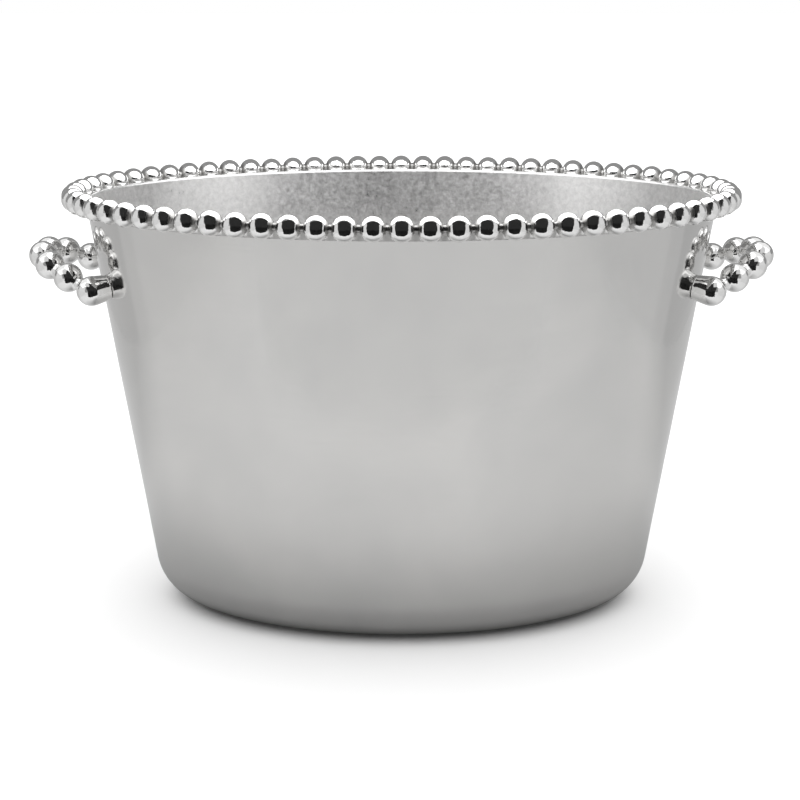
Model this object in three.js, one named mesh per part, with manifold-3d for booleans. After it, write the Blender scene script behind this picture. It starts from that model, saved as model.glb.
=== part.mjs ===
// An oval, tapered champagne bucket in cast and polished silver-coloured metal, with a beaded border round
// its rim and a beaded loop handle at each end.
// Millimetres, +Z up. The origin is the centre of the underside. The long axis and the handles lie along X.

import * as THREE from "three";
import { mergeVertices } from "three/addons/utils/BufferGeometryUtils.js";
import Module from "manifold-3d";

const wasm = await Module();
wasm.setup();

// Rim: an oval line through the bead centres, which every level of the wall is offset from.
const BEAD_LINE_HALF_LENGTH = 172;
const BEAD_LINE_HALF_WIDTH = 126;
const BEAD_LINE_HEIGHT = 222;
const RIM_BEAD_COUNT = 72;
const RIM_BEAD_RADIUS = 6.15;
const RIM_CORE_RADIUS = 1.8;
const RIM_STRIP_THICKNESS = 3.4;
const RIM_STRIP_TOP_BELOW_BEAD_LINE = 1.2;

// Shell.
const DRAFT_ANGLE = THREE.MathUtils.degToRad(8.75);
const WALL_THICKNESS = 3.2;
const FLOOR_THICKNESS = 4;
const FOOT_RADIUS = 27.5;
const INNER_FOOT_RADIUS = 24;
const LIP_BELOW_BEAD_LINE = 0.9;

// Loop handles: six beads on an arc, and a straight arm to one more bead at each end.
const HANDLE_BEAD_RADIUS = 7.5;
const HANDLE_BEAD_PITCH = 16;
const HANDLE_ARC_BEADS = 6;
const HANDLE_ARC_RADIUS = 37;
const HANDLE_ARC_CENTRE_X = 155.8;
const HANDLE_ARC_CENTRE_BELOW_BEAD_LINE = 46;
const HANDLE_RISE_ANGLE = THREE.MathUtils.degToRad(23.3);
const HANDLE_NECK_RADIUS = 3.6;
const HANDLE_FOOT_RADIUS = 6.2;

// Screws that hold the handles from inside, size M5, and their washers.
const SCREW_RADIUS = 2.35;
const SCREW_HOLE_RADIUS = 2.65;
const SCREW_REACH = 8.5;
const TAPPED_DEPTH = 11;
const SCREW_POINT_LENGTH = 1;
const SCREW_POINT_TAPER = 0.8;
const SCREW_HEAD_RADIUS = 4.75;
const SCREW_HEAD_HEIGHT = 2.75;
const SOCKET_SIDES = 6;
const SOCKET_ACROSS_FLATS = 3;
const SOCKET_DEPTH = 1.6;
const STEEL_WASHER_RADIUS = 5;
const STEEL_WASHER_THICKNESS = 1;
const SEALING_WASHER_RADIUS = 6;
const SEALING_WASHER_THICKNESS = 1.5;

// The domed head from its crown to its seat, as shares of the head's radius and height.
const SCREW_HEAD_PROFILE = [[0.55, 0], [0.85, 0.3], [1, 0.75], [1, 1]];

// Clearances between touching pieces, and how finely round forms are divided.
const FIT_GAP = 0.3;
const WASHER_SEAT_GAP = 0.5;
const OVAL_LENGTH_DIVISIONS = 2000;
const SHELL_DIVISIONS = 72;
const BORDER_STATIONS_PER_BEAD = 4;
const BORDER_SIDES = 8;
const BEAD_SIDES = 10;
const BEAD_RINGS = 7;
const SCREW_SIDES = 16;
const FOOT_DIVISIONS = 6;
const LIP_DIVISIONS = 4;
const ARM_END_DIVISIONS = 4;
const SEAT_SEARCH_STEPS = 40;
const MERGE_DISTANCE = 1e-4;

// Forms that follow the oval are turned at this radius first, and then moved point by point onto the oval.
const TURNING_RADIUS = 200;

// --- Solids -------------------------------------------------------------------------------------------

// The geometry as shared points and triangles, without the slivers that close up at the axis.
function bareTriangles(geometry) {
  const bare = geometry.clone();
  bare.deleteAttribute("normal");
  bare.deleteAttribute("uv");
  const merged = mergeVertices(bare, MERGE_DISTANCE);
  const corners = merged.index.array;
  const kept = [];
  for (let i = 0; i < corners.length; i += 3) {
    const [a, b, c] = corners.slice(i, i + 3);
    if (a !== b && b !== c && c !== a) {
      kept.push(a, b, c);
    }
  }
  const positions = Float32Array.from(merged.attributes.position.array);
  return { positions, triangles: Uint32Array.from(kept) };
}

function solidOf(geometry) {
  const { positions, triangles } = bareTriangles(geometry);
  return new wasm.Manifold(new wasm.Mesh({ numProp: 3, vertProperties: positions, triVerts: triangles }));
}

function geometryOf(solid) {
  const { vertProperties, triVerts } = solid.getMesh();
  const geometry = new THREE.BufferGeometry();
  geometry.setAttribute("position", new THREE.BufferAttribute(Float32Array.from(vertProperties), 3));
  geometry.setIndex(new THREE.BufferAttribute(Uint32Array.from(triVerts), 1));
  geometry.computeVertexNormals();
  return geometry;
}

function joined(geometries) {
  return geometries.map(solidOf).reduce((whole, piece) => whole.add(piece));
}

// A solid of revolution about Z from outline points (radius, height) that run anticlockwise: up the outside.
function turned(points, sides) {
  const outline = points.map(([radius, height]) => new THREE.Vector2(radius, height));
  return new THREE.LatheGeometry(outline, sides).rotateX(Math.PI / 2);
}

// Points (radius, height) along an arc, both ends included.
function arcPoints(centreRadius, centreHeight, radius, fromAngle, toAngle, divisions) {
  return Array.from({ length: divisions + 1 }, (_, i) => {
    const angle = THREE.MathUtils.lerp(fromAngle, toAngle, i / divisions);
    return [centreRadius + radius * Math.cos(angle), centreHeight + radius * Math.sin(angle)];
  });
}

// --- The oval -----------------------------------------------------------------------------------------

const beadLine = new THREE.EllipseCurve(0, 0, BEAD_LINE_HALF_LENGTH, BEAD_LINE_HALF_WIDTH);
beadLine.arcLengthDivisions = OVAL_LENGTH_DIVISIONS;

function ovalNormal(angle) {
  const alongX = BEAD_LINE_HALF_WIDTH * Math.cos(angle);
  const alongY = BEAD_LINE_HALF_LENGTH * Math.sin(angle);
  return new THREE.Vector2(alongX, alongY).normalize();
}

// The point at an angle on the bead line, moved inwards by inset.
function ovalPoint(angle, inset) {
  const onLine = new THREE.Vector2(
    BEAD_LINE_HALF_LENGTH * Math.cos(angle),
    BEAD_LINE_HALF_WIDTH * Math.sin(angle),
  );
  return onLine.addScaledVector(ovalNormal(angle), -inset);
}

// How far the wall's outer face is inside the bead line at a height.
function wallInset(height) {
  return RIM_BEAD_RADIUS + (BEAD_LINE_HEIGHT - height) * Math.tan(DRAFT_ANGLE);
}

// A solid whose section is the same all round the oval, from outline points (inset, height). Points further
// in than flatInset are drawn evenly together towards the centre. A form without a middle leaves it out.
function sweptRoundOval(outline, flatInset = TURNING_RADIUS / 2) {
  const swept = turned(outline.map(([inset, height]) => [TURNING_RADIUS - inset, height]), SHELL_DIVISIONS);
  const place = swept.attributes.position;
  for (let i = 0; i < place.count; i += 1) {
    const radius = Math.hypot(place.getX(i), place.getY(i));
    const angle = Math.atan2(place.getY(i), place.getX(i));
    const inset = Math.min(TURNING_RADIUS - radius, flatInset);
    const shrink = Math.min(radius / (TURNING_RADIUS - flatInset), 1);
    const point = ovalPoint(angle, inset).multiplyScalar(shrink);
    place.setXYZ(i, point.x, point.y, place.getZ(i));
  }
  return swept;
}

// --- Shell --------------------------------------------------------------------------------------------

// The arcs are laid out with each inset as a negative radius.
function shellOutline() {
  const cosine = Math.cos(DRAFT_ANGLE);
  const lipTop = BEAD_LINE_HEIGHT - LIP_BELOW_BEAD_LINE;
  const lipRadius = WALL_THICKNESS / 2;
  const across = WALL_THICKNESS / cosine;
  const footInset = wallInset(FOOT_RADIUS) + FOOT_RADIUS / cosine;
  const innerFootHeight = FLOOR_THICKNESS + INNER_FOOT_RADIUS;
  const innerFootInset = wallInset(innerFootHeight) + across + INNER_FOOT_RADIUS / cosine;
  const lipInset = wallInset(lipTop - lipRadius) + across / 2;
  const asInset = ([radius, height]) => [-radius, height];
  const down = -Math.PI / 2;
  const outerFoot = arcPoints(-footInset, FOOT_RADIUS, FOOT_RADIUS, down, -DRAFT_ANGLE, FOOT_DIVISIONS);
  const lip = arcPoints(-lipInset, lipTop - lipRadius, lipRadius, 0, Math.PI, LIP_DIVISIONS);
  const innerFoot = arcPoints(
    -innerFootInset, innerFootHeight, INNER_FOOT_RADIUS, -DRAFT_ANGLE, down, FOOT_DIVISIONS,
  );
  const wall = [...outerFoot, ...lip, ...innerFoot].map(asInset);
  return [[TURNING_RADIUS, 0], ...wall, [TURNING_RADIUS, FLOOR_THICKNESS]];
}

// A little further in than the arcs of the foot reach.
function shellFlatInset() {
  const level = wallInset(FLOOR_THICKNESS + INNER_FOOT_RADIUS);
  return level + (WALL_THICKNESS + FOOT_RADIUS) / Math.cos(DRAFT_ANGLE);
}

// --- Handle arms --------------------------------------------------------------------------------------

// The centres of the right-hand handle's beads from front to rear. They lie in one sloping plane, and the
// first and last are the beads that end the two arms.
function handleBeadPlaces() {
  const step = 2 * Math.asin(HANDLE_BEAD_PITCH / (2 * HANDLE_ARC_RADIUS));
  const places = [];
  for (let i = 0; i < HANDLE_ARC_BEADS; i += 1) {
    const angle = (i - (HANDLE_ARC_BEADS - 1) / 2) * step;
    places.push(new THREE.Vector2(Math.cos(angle), Math.sin(angle)).multiplyScalar(HANDLE_ARC_RADIUS));
  }
  const lastAngle = ((HANDLE_ARC_BEADS - 1) / 2) * step;
  const alongArm = new THREE.Vector2(-Math.sin(lastAngle), Math.cos(lastAngle));
  const armEnd = places.at(-1).clone().addScaledVector(alongArm, HANDLE_BEAD_PITCH);
  const flat = [new THREE.Vector2(armEnd.x, -armEnd.y), ...places, armEnd];
  return flat.map(({ x, y }) => new THREE.Vector3(
    HANDLE_ARC_CENTRE_X + x * Math.cos(HANDLE_RISE_ANGLE),
    y,
    BEAD_LINE_HEIGHT - HANDLE_ARC_CENTRE_BELOW_BEAD_LINE + x * Math.sin(HANDLE_RISE_ANGLE),
  ));
}

// Where an arm's end bead stands square to the wall's outer face: the place on the face, the outward
// direction there and the bead's distance from it. Each step turns the angle towards the bead.
function armSeat(bead) {
  let angle = Math.atan2(bead.y, bead.x);
  for (let i = 0; i < SEAT_SEARCH_STEPS; i += 1) {
    const normal = ovalNormal(angle);
    const foot = ovalPoint(angle, wallInset(bead.z));
    const sideways = (bead.y - foot.y) * normal.x - (bead.x - foot.x) * normal.y;
    angle += sideways / BEAD_LINE_HALF_LENGTH;
  }
  const normal = ovalNormal(angle);
  const outwards = new THREE.Vector3(
    normal.x * Math.cos(DRAFT_ANGLE),
    normal.y * Math.cos(DRAFT_ANGLE),
    -Math.sin(DRAFT_ANGLE),
  );
  const level = ovalPoint(angle, wallInset(bead.z));
  const toBead = new THREE.Vector3(bead.x - level.x, bead.y - level.y, 0);
  const distance = toBead.dot(outwards);
  return { place: bead.clone().addScaledVector(outwards, -distance), outwards, distance };
}

// Moves a form made along +Z, with its zero at the wall's outer face, to an arm's seat.
function atSeat(geometry, seat) {
  const turn = new THREE.Quaternion().setFromUnitVectors(new THREE.Vector3(0, 0, 1), seat.outwards);
  return geometry.applyQuaternion(turn).translate(seat.place.x, seat.place.y, seat.place.z);
}

const beadPlaces = handleBeadPlaces();
const seats = { front: armSeat(beadPlaces[0]), rear: armSeat(beadPlaces.at(-1)) };

// Every arm of both handles: its name, a seat at the right-hand end, and the half turn that takes that end
// to the left. The half turn also swaps front and rear.
const arms = [];
for (const end of ["left", "right"]) {
  for (const side of ["front", "rear"]) {
    const mirrored = side === "front" ? "rear" : "front";
    const halfTurn = end === "left" ? Math.PI : 0;
    arms.push({ name: `${end}_${side}`, seat: seats[end === "left" ? mirrored : side], halfTurn });
  }
}

// --- Pieces -------------------------------------------------------------------------------------------

function rod(radius, fromHeight, toHeight, sides) {
  return turned([[0, fromHeight], [radius, fromHeight], [radius, toHeight], [0, toHeight]], sides);
}

function screwHole(fromHeight, toHeight) {
  return rod(SCREW_HOLE_RADIUS, fromHeight, toHeight, SCREW_SIDES);
}

function bucketShell() {
  let shell = solidOf(sweptRoundOval(shellOutline(), shellFlatInset()));
  const clearOfBothFaces = 3 * WALL_THICKNESS;
  for (const { seat, halfTurn } of arms) {
    const throughWall = atSeat(screwHole(-clearOfBothFaces, clearOfBothFaces), seat);
    shell = shell.subtract(solidOf(throughWall.rotateZ(halfTurn)));
  }
  return geometryOf(shell);
}

// The beads and the core between them are one tube round the oval whose radius swells at each bead. The
// first bead is centred on the middle of the rear side, a quarter of the way round.
function beadedTube() {
  const stations = RIM_BEAD_COUNT * BORDER_STATIONS_PER_BEAD;
  const beadPitch = beadLine.getLength() / RIM_BEAD_COUNT;
  const quarterRound = 0.25;
  const ring = new THREE.TorusGeometry(TURNING_RADIUS, 1, BORDER_SIDES, stations);
  const place = ring.attributes.position;
  for (let i = 0; i < place.count; i += 1) {
    const around = Math.round((Math.atan2(place.getY(i), place.getX(i)) / (2 * Math.PI)) * stations);
    const share = THREE.MathUtils.euclideanModulo(around, stations) / stations;
    const along = THREE.MathUtils.euclideanModulo(share + quarterRound, 1);
    const angle = 2 * Math.PI * beadLine.getUtoTmapping(along);
    const fromBead = Math.abs((share * RIM_BEAD_COUNT + 0.5) % 1 - 0.5) * beadPitch;
    const swell = Math.sqrt(Math.max(RIM_BEAD_RADIUS ** 2 - fromBead ** 2, RIM_CORE_RADIUS ** 2));
    const outwards = (Math.hypot(place.getX(i), place.getY(i)) - TURNING_RADIUS) * swell;
    const point = ovalPoint(angle, -outwards);
    place.setXYZ(i, point.x, point.y, BEAD_LINE_HEIGHT + place.getZ(i) * swell);
  }
  return ring;
}

// The strip behind the beads follows the wall and ends level with the bottoms of the beads.
function borderStrip() {
  const top = BEAD_LINE_HEIGHT - RIM_STRIP_TOP_BELOW_BEAD_LINE;
  const bottom = BEAD_LINE_HEIGHT - RIM_BEAD_RADIUS;
  const againstWall = (height) => wallInset(height) - FIT_GAP / Math.cos(DRAFT_ANGLE);
  const outline = [
    [againstWall(bottom), bottom],
    [againstWall(bottom) - RIM_STRIP_THICKNESS, bottom],
    [againstWall(bottom) - RIM_STRIP_THICKNESS, top],
    [againstWall(top), top],
    [againstWall(bottom), bottom],
  ];
  return sweptRoundOval(outline);
}

function rimBeadBorder() {
  return geometryOf(joined([beadedTube(), borderStrip()]));
}

function ball(place) {
  const outline = arcPoints(0, 0, HANDLE_BEAD_RADIUS, -Math.PI / 2, Math.PI / 2, BEAD_RINGS);
  return turned(outline, BEAD_SIDES).translate(place.x, place.y, place.z);
}

function neck(from, to) {
  const length = from.distanceTo(to);
  const turn = new THREE.Quaternion().setFromUnitVectors(
    new THREE.Vector3(0, 0, 1),
    to.clone().sub(from).normalize(),
  );
  const straight = rod(HANDLE_NECK_RADIUS, 0, length, BEAD_SIDES);
  return straight.applyQuaternion(turn).translate(from.x, from.y, from.z);
}

// The last bead of an arm runs on into a slightly tapered foot that stands square on the wall.
function armFoot(seat) {
  const roundEnd = arcPoints(0, seat.distance, HANDLE_BEAD_RADIUS, 0, Math.PI / 2, ARM_END_DIVISIONS);
  const outline = [[0, FIT_GAP], [HANDLE_FOOT_RADIUS, FIT_GAP], ...roundEnd];
  return atSeat(turned(outline, SCREW_SIDES), seat);
}

function loopHandle() {
  const balls = beadPlaces.slice(1, -1).map(ball);
  const necks = beadPlaces.slice(1).map((place, i) => neck(beadPlaces[i], place));
  let handle = joined([...balls, ...necks, armFoot(seats.front), armFoot(seats.rear)]);
  for (const seat of Object.values(seats)) {
    handle = handle.subtract(solidOf(atSeat(screwHole(-WALL_THICKNESS, TAPPED_DEPTH), seat)));
  }
  return geometryOf(handle);
}

// Heights along a screw, measured outwards from the wall's outer face.
const SEALING_WASHER_TOP = -WALL_THICKNESS - WASHER_SEAT_GAP;
const STEEL_WASHER_TOP = SEALING_WASHER_TOP - SEALING_WASHER_THICKNESS - FIT_GAP;
const SCREW_HEAD_TOP = STEEL_WASHER_TOP - STEEL_WASHER_THICKNESS - FIT_GAP;

function washer(top, thickness, radius) {
  const outline = [
    [SCREW_HOLE_RADIUS, top - thickness],
    [radius, top - thickness],
    [radius, top],
    [SCREW_HOLE_RADIUS, top],
    [SCREW_HOLE_RADIUS, top - thickness],
  ];
  return turned(outline, SCREW_SIDES);
}

function handleScrew() {
  const crown = SCREW_HEAD_TOP - SCREW_HEAD_HEIGHT;
  const head = SCREW_HEAD_PROFILE.map(
    ([across, down]) => [across * SCREW_HEAD_RADIUS, crown + down * SCREW_HEAD_HEIGHT],
  );
  const outline = [
    [0, crown],
    ...head,
    [SCREW_RADIUS, SCREW_HEAD_TOP],
    [SCREW_RADIUS, SCREW_REACH - SCREW_POINT_LENGTH],
    [SCREW_RADIUS - SCREW_POINT_TAPER, SCREW_REACH],
    [0, SCREW_REACH],
  ];
  const socketRadius = SOCKET_ACROSS_FLATS / Math.sqrt(3);
  const socket = rod(socketRadius, crown - SOCKET_DEPTH, crown + SOCKET_DEPTH, SOCKET_SIDES);
  return geometryOf(solidOf(turned(outline, SCREW_SIDES)).subtract(solidOf(socket)));
}

// --- Materials and assembly ---------------------------------------------------------------------------

const satinMetal = new THREE.MeshStandardMaterial({ color: 0xbfbfbd, roughness: 0.45, metalness: 1 });
const polishedMetal = new THREE.MeshStandardMaterial({ color: 0xd8d8d8, roughness: 0.08, metalness: 1 });
const stainlessSteel = new THREE.MeshStandardMaterial({ color: 0xa9abad, roughness: 0.3, metalness: 1 });
const blackRubber = new THREE.MeshStandardMaterial({ color: 0x1c1c1d, roughness: 0.8, metalness: 0 });

function piece(name, geometry, material) {
  const mesh = new THREE.Mesh(geometry, material);
  mesh.name = name;
  return mesh;
}

const bucket = new THREE.Group();
bucket.add(piece("bucket_shell", bucketShell(), satinMetal));
bucket.add(piece("rim_bead_border", rimBeadBorder(), polishedMetal));

for (const end of ["left", "right"]) {
  const handle = piece(`handle_${end}`, loopHandle(), polishedMetal);
  handle.rotation.z = end === "left" ? Math.PI : 0;
  bucket.add(handle);
}

for (const { name, seat, halfTurn } of arms) {
  const fixing = new THREE.Group();
  fixing.rotation.z = halfTurn;
  const sealing = washer(SEALING_WASHER_TOP, SEALING_WASHER_THICKNESS, SEALING_WASHER_RADIUS);
  const steel = washer(STEEL_WASHER_TOP, STEEL_WASHER_THICKNESS, STEEL_WASHER_RADIUS);
  fixing.add(piece(`sealing_washer_${name}`, atSeat(sealing, seat), blackRubber));
  fixing.add(piece(`screw_washer_${name}`, atSeat(steel, seat), stainlessSteel));
  fixing.add(piece(`handle_screw_${name}`, atSeat(handleScrew(), seat), stainlessSteel));
  bucket.add(fixing);
}

export default bucket;
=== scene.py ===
import math

import bmesh
import bpy
import numpy as np
from mathutils import Matrix, Vector, noise


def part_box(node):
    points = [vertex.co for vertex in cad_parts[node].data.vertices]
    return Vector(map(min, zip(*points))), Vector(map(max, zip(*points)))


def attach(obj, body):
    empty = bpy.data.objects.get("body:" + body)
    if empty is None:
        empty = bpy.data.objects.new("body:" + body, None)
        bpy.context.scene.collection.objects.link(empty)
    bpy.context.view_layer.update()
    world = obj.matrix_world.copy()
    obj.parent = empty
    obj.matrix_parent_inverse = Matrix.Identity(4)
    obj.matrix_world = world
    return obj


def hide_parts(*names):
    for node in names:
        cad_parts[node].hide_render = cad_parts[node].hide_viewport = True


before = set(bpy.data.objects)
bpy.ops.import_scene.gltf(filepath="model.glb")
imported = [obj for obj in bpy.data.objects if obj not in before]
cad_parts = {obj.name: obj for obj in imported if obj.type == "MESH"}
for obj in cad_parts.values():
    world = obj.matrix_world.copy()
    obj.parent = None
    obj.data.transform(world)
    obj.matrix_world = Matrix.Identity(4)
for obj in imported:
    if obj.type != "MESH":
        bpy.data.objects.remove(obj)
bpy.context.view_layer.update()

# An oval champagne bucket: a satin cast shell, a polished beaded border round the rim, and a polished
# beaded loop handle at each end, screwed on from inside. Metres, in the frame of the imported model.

MM = 0.001
RANDOM = np.random.default_rng(7)

# --- Sizes, from the frame's boxes and the shell's own section ------------------------------------------

BORDER_LOW, BORDER_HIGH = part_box("rim_bead_border")
RIM_BEAD_RADIUS = (BORDER_HIGH.z - BORDER_LOW.z) / 2
BEAD_LINE_HEIGHT = (BORDER_HIGH.z + BORDER_LOW.z) / 2
BEAD_LINE_HALF_LENGTH = BORDER_HIGH.x - RIM_BEAD_RADIUS
BEAD_LINE_HALF_WIDTH = BORDER_HIGH.y - RIM_BEAD_RADIUS
LIP_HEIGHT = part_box("bucket_shell")[1].z
RIM_BEAD_COUNT = 72
RIM_CORE_RADIUS = 1.8 * MM
STRIP_THICKNESS = 3.7 * MM
STRIP_TOP_BELOW_BEAD_LINE = 1.2 * MM

DRAFT_ANGLE = math.radians(8.75)
WALL_THICKNESS = 3.2 * MM
FLOOR_THICKNESS = 4 * MM
FOOT_RADIUS = 27.5 * MM
INNER_FOOT_RADIUS = 24 * MM

HANDLE_BEAD_RADIUS = 7.5 * MM
HANDLE_BEAD_PITCH = 16 * MM
HANDLE_ARC_BEADS = 6
HANDLE_ARC_RADIUS = 37 * MM
HANDLE_ARC_CENTRE_X = 155.8 * MM
HANDLE_ARC_CENTRE_Z = BEAD_LINE_HEIGHT - 46 * MM
HANDLE_RISE_ANGLE = math.radians(23.3)
HANDLE_NECK_RADIUS = 3.6 * MM
HANDLE_FOOT_RADIUS = 6.2 * MM
HANDLE_BLEND = 0.7 * MM
HANDLE_VOXEL = 0.45 * MM
SEAT_SEARCH_STEPS = 40

SCREW_RADIUS = 2.45 * MM
SCREW_HOLE_RADIUS = 2.65 * MM
SCREW_REACH = 8.5 * MM
SCREW_HEAD_RADIUS = 4.75 * MM
SCREW_HEAD_HEIGHT = 2.75 * MM
SOCKET_ACROSS_FLATS = 3 * MM
SOCKET_DEPTH = 1.6 * MM
SOCKET_CENTRE_SHARE = 0.6
SCREW_FLAT_SHARE = 1.35
SCREW_DOME_SHARE = 0.8
SCREW_POINT_SHARE = 0.72
SCREW_EDGE = 0.12 * MM
THREAD_PITCH = 0.8 * MM
THREAD_DEPTH_SHARE = 0.14
STEEL_WASHER_RADIUS = 5 * MM
STEEL_WASHER_THICKNESS = 1 * MM
STEEL_WASHER_EDGE = 0.15 * MM
SEALING_WASHER_RADIUS = 6 * MM
SEALING_WASHER_THICKNESS = 1.5 * MM
SEALING_WASHER_EDGE = 0.5 * MM


# --- Mesh helpers ---------------------------------------------------------------------------------------

MERGE_DISTANCE = 1e-7
DRILL_SIDES = 32


def new_object(name, vertices, faces):
    mesh = bpy.data.meshes.new(name)
    mesh.from_pydata([tuple(v) for v in vertices], [], [tuple(f) for f in faces])
    mesh.validate()
    piece = bpy.data.objects.new(name, mesh)
    bpy.context.scene.collection.objects.link(piece)
    return piece


def smooth(piece, sharp_degrees):
    piece.data.shade_smooth()
    piece.data.set_sharp_from_angle(angle=math.radians(sharp_degrees))


def grid_faces(rings, around):
    """Quads between rings of equal length that each close on themselves."""
    ring, step = np.meshgrid(np.arange(rings - 1), np.arange(around), indexing="ij")
    after = (step + 1) % around
    here, there = ring * around, (ring + 1) * around
    return np.stack([here + step, here + after, there + after, there + step], -1).reshape(-1, 4)


def of_vertices(piece, what):
    """The place ("co") or the normal of every vertex."""
    flat = np.empty(len(piece.data.vertices) * 3)
    piece.data.vertices.foreach_get(what, flat)
    return flat.reshape(-1, 3)


def set_coordinates(piece, points):
    piece.data.vertices.foreach_set("co", np.asarray(points, float).ravel())
    piece.data.update()


def applied(piece, modifier_type, **settings):
    """Adds a modifier to a piece, then keeps its result as the piece's own mesh."""
    modifier = piece.modifiers.new(modifier_type.lower(), modifier_type)
    for key, value in settings.items():
        setattr(modifier, key, value)
    evaluated = piece.evaluated_get(bpy.context.evaluated_depsgraph_get())
    result = bpy.data.meshes.new_from_object(evaluated)
    piece.modifiers.clear()
    piece.data = result
    return piece


def add_attribute(piece, name, values):
    attribute = piece.data.attributes.new(name, "FLOAT", "POINT")
    attribute.data.foreach_set("value", np.asarray(values, float).ravel())


def face_outwards(mesh, merge_distance=None):
    """Turns all faces of a closed mesh outwards, once vertices closer than a distance are merged."""
    bm = bmesh.new()
    bm.from_mesh(mesh)
    if merge_distance:
        bmesh.ops.remove_doubles(bm, verts=bm.verts, dist=merge_distance)
    bmesh.ops.recalc_face_normals(bm, faces=bm.faces)
    bm.to_mesh(mesh)
    bm.free()


def turned(name, outline, sides, radius_factor=None):
    """A solid turned about Z. Its outline is (radius, height), from axis to axis or a closed loop."""
    outline = np.array(outline, float)
    angles = np.arange(sides) * 2 * math.pi / sides
    radii = np.repeat(outline[:, :1], sides, axis=1)
    if radius_factor is not None:
        radii = radii * radius_factor(outline, angles)
    heights = np.repeat(outline[:, 1:], sides, axis=1)
    points = np.stack([radii * np.cos(angles), radii * np.sin(angles), heights], -1).reshape(-1, 3)
    piece = new_object(name, points, grid_faces(len(outline), sides))
    face_outwards(piece.data, MERGE_DISTANCE)
    return piece


def drill_hole(piece, seat, start, end):
    """Bores a screw hole along a seat's axis, between two distances from the wall's face."""
    section = [(0, start), (SCREW_HOLE_RADIUS, start), (SCREW_HOLE_RADIUS, end), (0, end)]
    drill = turned("drill", section, DRILL_SIDES)
    drill.data.transform(seat)
    applied(piece, "BOOLEAN", object=drill, operation="DIFFERENCE", solver="EXACT")
    bpy.data.objects.remove(drill)


def arc(centre, radius, from_angle, to_angle, steps):
    angles = np.linspace(from_angle, to_angle, steps + 1)
    return [(centre[0] + radius * math.cos(a), centre[1] + radius * math.sin(a)) for a in angles]


# --- The oval -------------------------------------------------------------------------------------------

OVAL_STEPS = 20000


def oval_normal(angle):
    along = np.stack([BEAD_LINE_HALF_WIDTH * np.cos(angle), BEAD_LINE_HALF_LENGTH * np.sin(angle)], -1)
    return along / np.linalg.norm(along, axis=-1, keepdims=True)


def oval_point(angle, inset):
    line = np.stack([BEAD_LINE_HALF_LENGTH * np.cos(angle), BEAD_LINE_HALF_WIDTH * np.sin(angle)], -1)
    return line - oval_normal(angle) * np.asarray(inset)[..., None]


def wall_inset(height):
    return RIM_BEAD_RADIUS + (BEAD_LINE_HEIGHT - height) * math.tan(DRAFT_ANGLE)


def evenly_round_oval():
    """The oval's length, and a function from a distance along it to an angle. Distance 0 is the front."""
    angles = np.linspace(0, 2 * math.pi, OVAL_STEPS + 1) - math.pi / 2
    points = oval_point(angles, np.zeros_like(angles))
    walked = np.concatenate([[0], np.cumsum(np.linalg.norm(np.diff(points, axis=0), axis=1))])
    return walked[-1], lambda distance: np.interp(np.mod(distance, walked[-1]), walked, angles)


# --- Shell ----------------------------------------------------------------------------------------------

SHELL_DIVISIONS = 360
WALL_STEPS = 72
FOOT_STEPS = 20
LIP_STEPS = 12
BUFFED_STEPS = 8
FLOOR_RINGS = 16
WAVE_DEPTH = 0.10 * MM
WAVE_SIZE = 45 * MM
SHELL_SHARP_DEGREES = 35
OUTSIDE, INSIDE, LIP, UNDERSIDE = range(4)


def shell_section():
    """(inset, height, zone) from the underside's edge, up the outside, over the lip and down inside."""
    cosine = math.cos(DRAFT_ANGLE)
    across = WALL_THICKNESS / cosine
    lip_radius = WALL_THICKNESS / 2
    lip_centre = (-(wall_inset(LIP_HEIGHT - lip_radius) + across / 2), LIP_HEIGHT - lip_radius)
    foot_centre = (-(wall_inset(FOOT_RADIUS) + FOOT_RADIUS / cosine), FOOT_RADIUS)
    inner_height = FLOOR_THICKNESS + INNER_FOOT_RADIUS
    inner_centre = (-(wall_inset(inner_height) + across + INNER_FOOT_RADIUS / cosine), inner_height)
    down = -math.pi / 2
    outer_foot = arc(foot_centre, FOOT_RADIUS, down, -DRAFT_ANGLE, FOOT_STEPS)
    lip = arc(lip_centre, lip_radius, 0, math.pi, LIP_STEPS)
    inner_foot = arc(inner_centre, INNER_FOOT_RADIUS, -DRAFT_ANGLE, down, FOOT_STEPS)
    outer_wall = np.linspace(outer_foot[-1], lip[0], WALL_STEPS + 1)[1:-1]
    inner_wall = np.linspace(lip[-1], inner_foot[0], WALL_STEPS + 1)[1:-1]
    stretches = [(outer_foot, OUTSIDE), (outer_wall, OUTSIDE), (lip[:BUFFED_STEPS], LIP),
                 (lip[BUFFED_STEPS:], INSIDE), (inner_wall, INSIDE), (inner_foot, INSIDE)]
    return [(-outward, height, zone) for stretch, zone in stretches for outward, height in stretch]


def hand_finish(points, normals):
    """The slight waviness that casting and hand finishing leave."""
    waves = [noise.fractal(Vector(p) / WAVE_SIZE, 1.0, 2.0, 3) for p in points]
    return points + normals * (np.array(waves) * WAVE_DEPTH)[:, None]


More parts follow.
